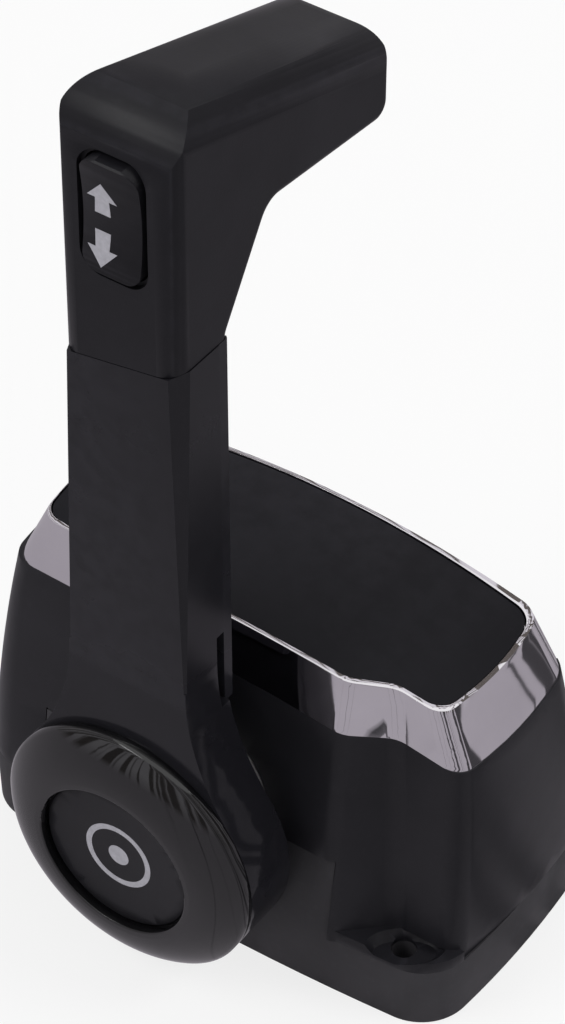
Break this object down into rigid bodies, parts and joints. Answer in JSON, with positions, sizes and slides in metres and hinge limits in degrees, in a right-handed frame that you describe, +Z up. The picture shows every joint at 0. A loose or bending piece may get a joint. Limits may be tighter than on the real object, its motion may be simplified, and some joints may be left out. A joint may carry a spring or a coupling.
{
  "type": "boat throttle control lever",
  "caption": "Single-lever top-mount boat throttle and shift control: black pod with a chrome band, side lever with hub button and a trim-rocker grip.",
  "frame": {"origin": "centre of the four mounting holes, on the mounting plane under the base gasket", "axes": "+Z up from the console, +X aft (the lever leans towards -X for ahead), the lever hangs on the -Y side of the pod"},
  "size_m": [0.1258, 0.0912, 0.2287],
  "materials": {
    "cover_black": "satin",
    "base_grey": "matte",
    "bezel_chrome": "polished",
    "panel_black": "satin",
    "gasket_rubber": "matte",
    "lever_black": "semi-gloss",
    "grip_black": "satin soft touch",
    "ring_black": "gloss",
    "button_black": "satin",
    "rocker_black": "satin",
    "steel": "brushed",
    "alloy": "cast",
    "bush_brass": "turned",
    "inner_plastic": "matte"
  },
  "bodies": {
    "base": {"base_frame": "base_grey", "base_gasket": "gasket_rubber", "side_cover": "cover_black", "chrome_bezel": "bezel_chrome", "top_cover": "panel_black", "boss_collar": "alloy", "shaft_seal": "gasket_rubber", "near_frame_plate": "steel", "far_frame_plate": "steel", "near_bush": "bush_brass", "far_bush": "bush_brass", "frame_spacers": "steel", "frame_bolts": "steel", "frame_screws": "steel", "detent_housing": "alloy", "detent_plunger": "steel", "detent_spring": "steel", "neutral_switch": "inner_plastic", "neutral_switch_screws": "steel", "friction_shoe": "inner_plastic", "friction_adjuster": "steel", "cable_anchor": "alloy", "anchor_screws": "steel", "cover_screws": "steel", "bezel_screws": "steel"},
    "lever": {"lever_arm": "lever_black", "arm_rear_cover": "lever_black", "arm_cover_screws": "steel", "lead_grommet": "gasket_rubber", "hub_ring": "ring_black", "hub_washer": "steel", "hub_bolt": "steel", "button_spring": "steel", "main_shaft": "steel", "shaft_key": "steel", "shaft_circlip": "steel", "detent_cam": "steel", "drive_gear": "steel", "throttle_crank": "steel", "throttle_pin": "steel", "grip_shell": "grip_black", "grip_under_cover": "grip_black", "grip_screws": "steel", "trim_switch_body": "rocker_black", "rocker_pivot_pin": "steel"},
    "button": {"throttle_button": "button_black"},
    "rocker": {"trim_rocker": "rocker_black"},
    "shift": {"shift_shaft": "steel", "shift_gear": "steel", "shift_arm": "steel", "shift_pin": "steel", "shift_circlips": "steel"}
  },
  "joints": [
    {"name": "lever_swing", "type": "hinge", "parent": "base", "child": "lever", "pos_m": [-0.0038, 0, 0.0376], "axis": [0, -1, 0], "range_deg": [-60, 80]},
    {"name": "button_press", "type": "slide", "parent": "lever", "child": "button", "axis": [0, 1, 0], "range_m": [0, 0.0025], "stiffness_N_per_m": 400, "springref_m": -0.002},
    {"name": "rocker_tilt", "type": "hinge", "parent": "lever", "child": "rocker", "pos_m": [-0.0038, -0.0466, 0.2044], "axis": [1, 0, 0], "range_deg": [-6, 6], "stiffness_Nm_per_rad": 0.15},
    {"name": "shift_turn", "type": "hinge", "parent": "base", "child": "shift", "pos_m": [0.0262, 0, 0.0376], "axis": [0, -1, 0], "range_deg": [-48, 36]}
  ],
  "couplings": [
    {"joint": "shift_turn", "follows": "lever_swing", "ratio": -0.6}
  ]
}
